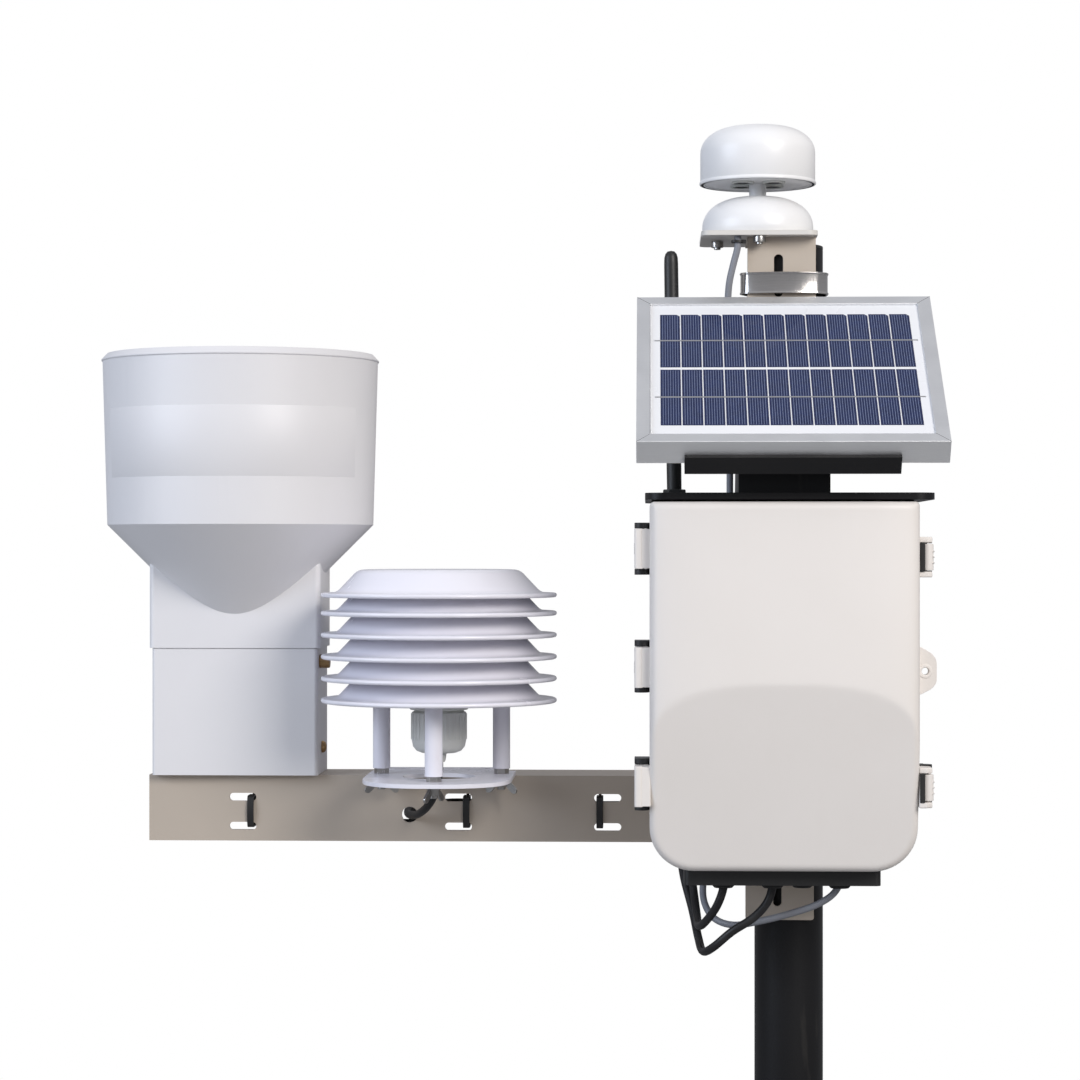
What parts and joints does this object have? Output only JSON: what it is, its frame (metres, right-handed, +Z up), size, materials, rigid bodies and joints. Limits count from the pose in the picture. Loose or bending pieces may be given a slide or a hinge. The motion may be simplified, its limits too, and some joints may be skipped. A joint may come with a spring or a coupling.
{
  "type": "tripod weather station",
  "caption": "Weather station on a black mast with a folding tripod: white box, solar panel, ultrasonic wind sensor, rain gauge and louvred shield.",
  "frame": {"origin": "centre of the mast foot's underside, on the ground", "axes": "+Z up along the mast, -Y towards the front (the enclosure's door), +X to the right seen from the front"},
  "size_m": [0.7924, 0.8732, 1.513],
  "materials": {
    "black_paint": "satin black powder coat",
    "greige_paint": "light grey-beige powder coat",
    "steel": "bright stainless steel",
    "brass": "brass, knurled",
    "alu": "clear anodised",
    "white_plastic": "white weatherproof plastic",
    "white_gloss": "smooth white plastic",
    "black_plastic": "black nylon",
    "grey_plastic": "grey plastic",
    "black_rubber": "black rubber",
    "grey_cord": "grey cable jacket",
    "solar_glass": "tempered glass over blue cells",
    "board": "green circuit board"
  },
  "bodies": {
    "root": {"mast": "black_paint", "mast_cap": "black_paint", "mast_foot": "black_paint", "tripod_hub": "black_paint", "hub_knobs": "black_plastic", "leg_bolts": "steel", "back_plate": "greige_paint", "mast_bands": "steel", "arm_channel": "greige_paint", "arm_bolts": "steel", "zip_ties": "black_plastic", "enclosure_base": "white_plastic", "door_gasket": "black_rubber", "hinge_brackets": "black_paint", "latch_brackets": "black_paint", "gland_strip": "black_plastic", "battery": "black_plastic", "logger_box": "grey_plastic", "roof_plate": "black_paint", "case_screws": "steel", "antenna": "black_plastic", "panel_pedestal": "black_paint", "tilt_bolts": "steel", "wind_bracket": "greige_paint", "wind_plate": "greige_paint", "wind_lower_shell": "white_gloss", "wind_post": "white_gloss", "wind_upper_shell": "white_gloss", "wind_transducers": "black_plastic", "wind_screws": "steel", "rain_base": "white_plastic", "rain_side_screws": "brass", "bucket_axle": "steel", "bucket_bridge": "black_plastic", "reed_switch": "board", "shield_cap": "white_plastic", "shield_louvres": "white_plastic", "shield_spacers": "white_plastic", "shield_rods": "steel", "shield_base_plate": "white_plastic", "shield_wing_nuts": "steel", "humidity_probe": "grey_plastic", "probe_gland": "grey_plastic", "probe_cable": "black_rubber", "rain_cable": "black_rubber", "wind_cable": "grey_cord"},
    "leg_left": {"leg_left": "black_paint"},
    "leg_front": {"leg_front": "black_paint"},
    "leg_back": {"leg_back": "black_paint"},
    "door": {"enclosure_door": "white_plastic", "latch_keepers": "white_plastic"},
    "lever_upper": {"latch_lever_upper": "white_plastic"},
    "lever_lower": {"latch_lever_lower": "white_plastic"},
    "panel": {"panel_cradle": "black_paint", "panel_frame": "alu", "panel_laminate": "solar_glass", "panel_junction_box": "black_plastic"},
    "funnel": {"rain_funnel": "white_plastic", "rain_screen": "steel"},
    "bucket": {"tipping_bucket": "white_plastic"}
  },
  "joints": [
    {"name": "leg_left_fold", "type": "hinge", "parent": "root", "child": "leg_left", "pos_m": [-0.062, 0, 0.665], "axis": [0, -1, 0], "range_deg": [0, 30]},
    {"name": "leg_front_fold", "type": "hinge", "parent": "root", "child": "leg_front", "pos_m": [0.031, -0.05369, 0.665], "axis": [0.866, 0.5, 0], "range_deg": [0, 30]},
    {"name": "leg_back_fold", "type": "hinge", "parent": "root", "child": "leg_back", "pos_m": [0.031, 0.05369, 0.665], "axis": [-0.866, 0.5, 0], "range_deg": [0, 30]},
    {"name": "door_swing", "type": "hinge", "parent": "root", "child": "door", "pos_m": [-0.109, -0.12, 1.1168], "axis": [0, 0, -1], "range_deg": [0, 110]},
    {"name": "latch_upper_flip", "type": "hinge", "parent": "root", "child": "lever_upper", "pos_m": [0.09, -0.108, 1.1937], "axis": [0, 0, 1], "range_deg": [0, 100]},
    {"name": "latch_lower_flip", "type": "hinge", "parent": "root", "child": "lever_lower", "pos_m": [0.09, -0.108, 1.034], "axis": [0, 0, 1], "range_deg": [0, 100]},
    {"name": "panel_tilt", "type": "hinge", "parent": "root", "child": "panel", "pos_m": [-0.01, -0.105, 1.292], "axis": [1, 0, 0], "range_deg": [-4, 12]},
    {"name": "bucket_tip", "type": "hinge", "parent": "root", "child": "bucket", "pos_m": [-0.417, 0.053, 1.07], "axis": [0, -1, 0], "range_deg": [0, 32]},
    {"name": "funnel_lift", "type": "slide", "parent": "root", "child": "funnel", "axis": [0, 0, 1], "range_m": [0, 0.12]}
  ]
}
